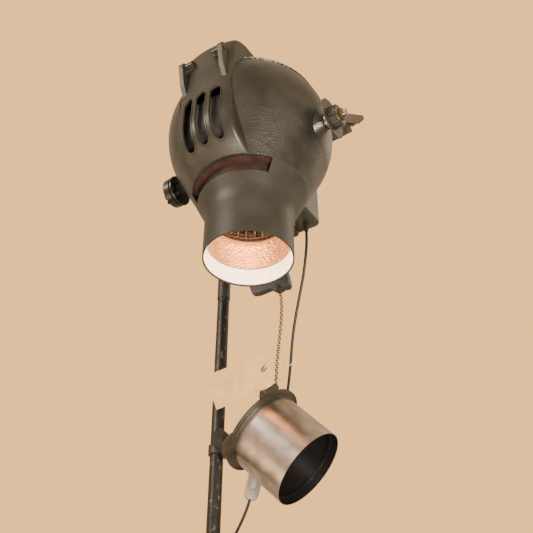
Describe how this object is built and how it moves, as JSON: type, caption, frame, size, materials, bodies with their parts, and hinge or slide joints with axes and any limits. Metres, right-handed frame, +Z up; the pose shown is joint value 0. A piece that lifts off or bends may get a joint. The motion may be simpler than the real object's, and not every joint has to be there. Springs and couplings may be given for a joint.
{
  "type": "surgical light",
  "caption": "Ball-shaped examination lamp head with vent hood and snout, tilting in a bow on a round column, with hung accessory tube, tag, cord and in-line switch.",
  "frame": {"origin": "on the column's axis at its lower end, where it enters a stand", "axes": "+Z up along the column, +X from the column towards the lamp head along the tilt axis, -Y towards the side the hood faces"},
  "size_m": [0.3982, 0.4685, 1.099],
  "materials": {
    "housing_paint": "hammered dark olive-grey, semi-gloss",
    "cone_paint": "smooth dark olive-grey, semi-gloss",
    "hood_paint": "dark olive-brown, semi-gloss",
    "bow_paint": "tan-grey paint, satin",
    "black_paint": "black, semi-gloss",
    "column_paint": "black with worn golden-brown flecks",
    "steel": "brushed",
    "dark_steel": "dark",
    "aluminium": "brushed satin",
    "reflector": "polished",
    "hammered": "hammered reflector, warm",
    "flange_paint": "dark olive, satin",
    "brass": "dull",
    "bakelite": "black phenolic",
    "brown_knob": "dark brown phenolic",
    "inner_dark": "heat-darkened",
    "glass": "clear, filament lamp",
    "ceramic": "ceramic",
    "cord_cover": "black rubber, slightly worn",
    "switch_plastic": "grey-beige",
    "tie_plastic": "black",
    "rocker_plastic": "pale grey",
    "manila": "manila card",
    "string": "cotton string"
  },
  "bodies": {
    "column": {"arm_end_cap": "bakelite", "arm_tube": "steel", "bow": "bow_paint", "bow_bolts": "dark_steel", "bow_hub": "black_paint", "chain": "steel", "chain_clasp": "steel", "clip_box": "black_paint", "column_elbow": "black_paint", "column_screws": "dark_steel", "column_sleeve": "black_paint", "column_tube": "column_paint", "cord_hank": "cord_cover", "cord_lower": "cord_cover", "cord_run": "cord_cover", "cord_tail": "cord_cover", "friction_disc": "bow_paint", "hang_tag": "manila", "hanger_bracket": "black_paint", "hank_tie": "tie_plastic", "inline_back": "switch_plastic", "inline_front": "switch_plastic", "plug_body": "cord_cover", "plug_pins": "brass", "tag_eyelet": "brown_knob", "tag_string": "string", "tube_body": "aluminium", "tube_flange": "flange_paint", "tube_rivets": "steel"},
    "head": {"upper_housing": "housing_paint", "top_cap": "housing_paint", "snout_shell": "cone_paint", "hood_cover": "hood_paint", "hood_lugs": "hood_paint", "vent_baffle": "inner_dark", "rear_box": "housing_paint", "rear_cover": "housing_paint", "snout_liner": "aluminium", "reflector_sleeve": "hammered", "carrier_ring": "inner_dark", "reflector_bowl": "reflector", "bar_cage": "inner_dark", "reflector_posts": "steel", "bulb_glass": "glass", "bulb_cap": "brass", "lamp_socket": "ceramic", "right_stud": "steel", "left_stud": "steel", "left_pad": "bakelite", "ring_nut": "flange_paint", "end_washer": "brass", "cover_screws": "steel", "terminal_block": "ceramic", "lamp_leads": "cord_cover", "switch_bush": "steel", "cord_gland": "cord_cover"},
    "clamp": {"clamp_knob": "bakelite"},
    "box_switch": {"switch_knob": "brown_knob"},
    "rocker": {"switch_rocker": "rocker_plastic"}
  },
  "joints": [
    {"name": "head_tilt", "type": "hinge", "parent": "column", "child": "head", "pos_m": [0.181, -0.184, 0.901], "axis": [1, 0, 0], "range_deg": [-75, 8], "deforming": ["cord_run"]},
    {"name": "clamp_turn", "type": "hinge", "parent": "head", "child": "clamp", "pos_m": [0.016, -0.184, 0.901], "axis": [-1, 0, 0], "range_deg": [-40, 60]},
    {"name": "box_switch_turn", "type": "hinge", "parent": "head", "child": "box_switch", "pos_m": [0.167, -0.018, 0.866], "axis": [0, 0, -1], "range_deg": [0, 90]},
    {"name": "inline_rocker", "type": "hinge", "parent": "column", "child": "rocker", "pos_m": [-0.00121, 0.11143, 0.46256], "axis": [-0.7609, -0.6102, 0.2208], "range_deg": [-8, 8]}
  ]
}
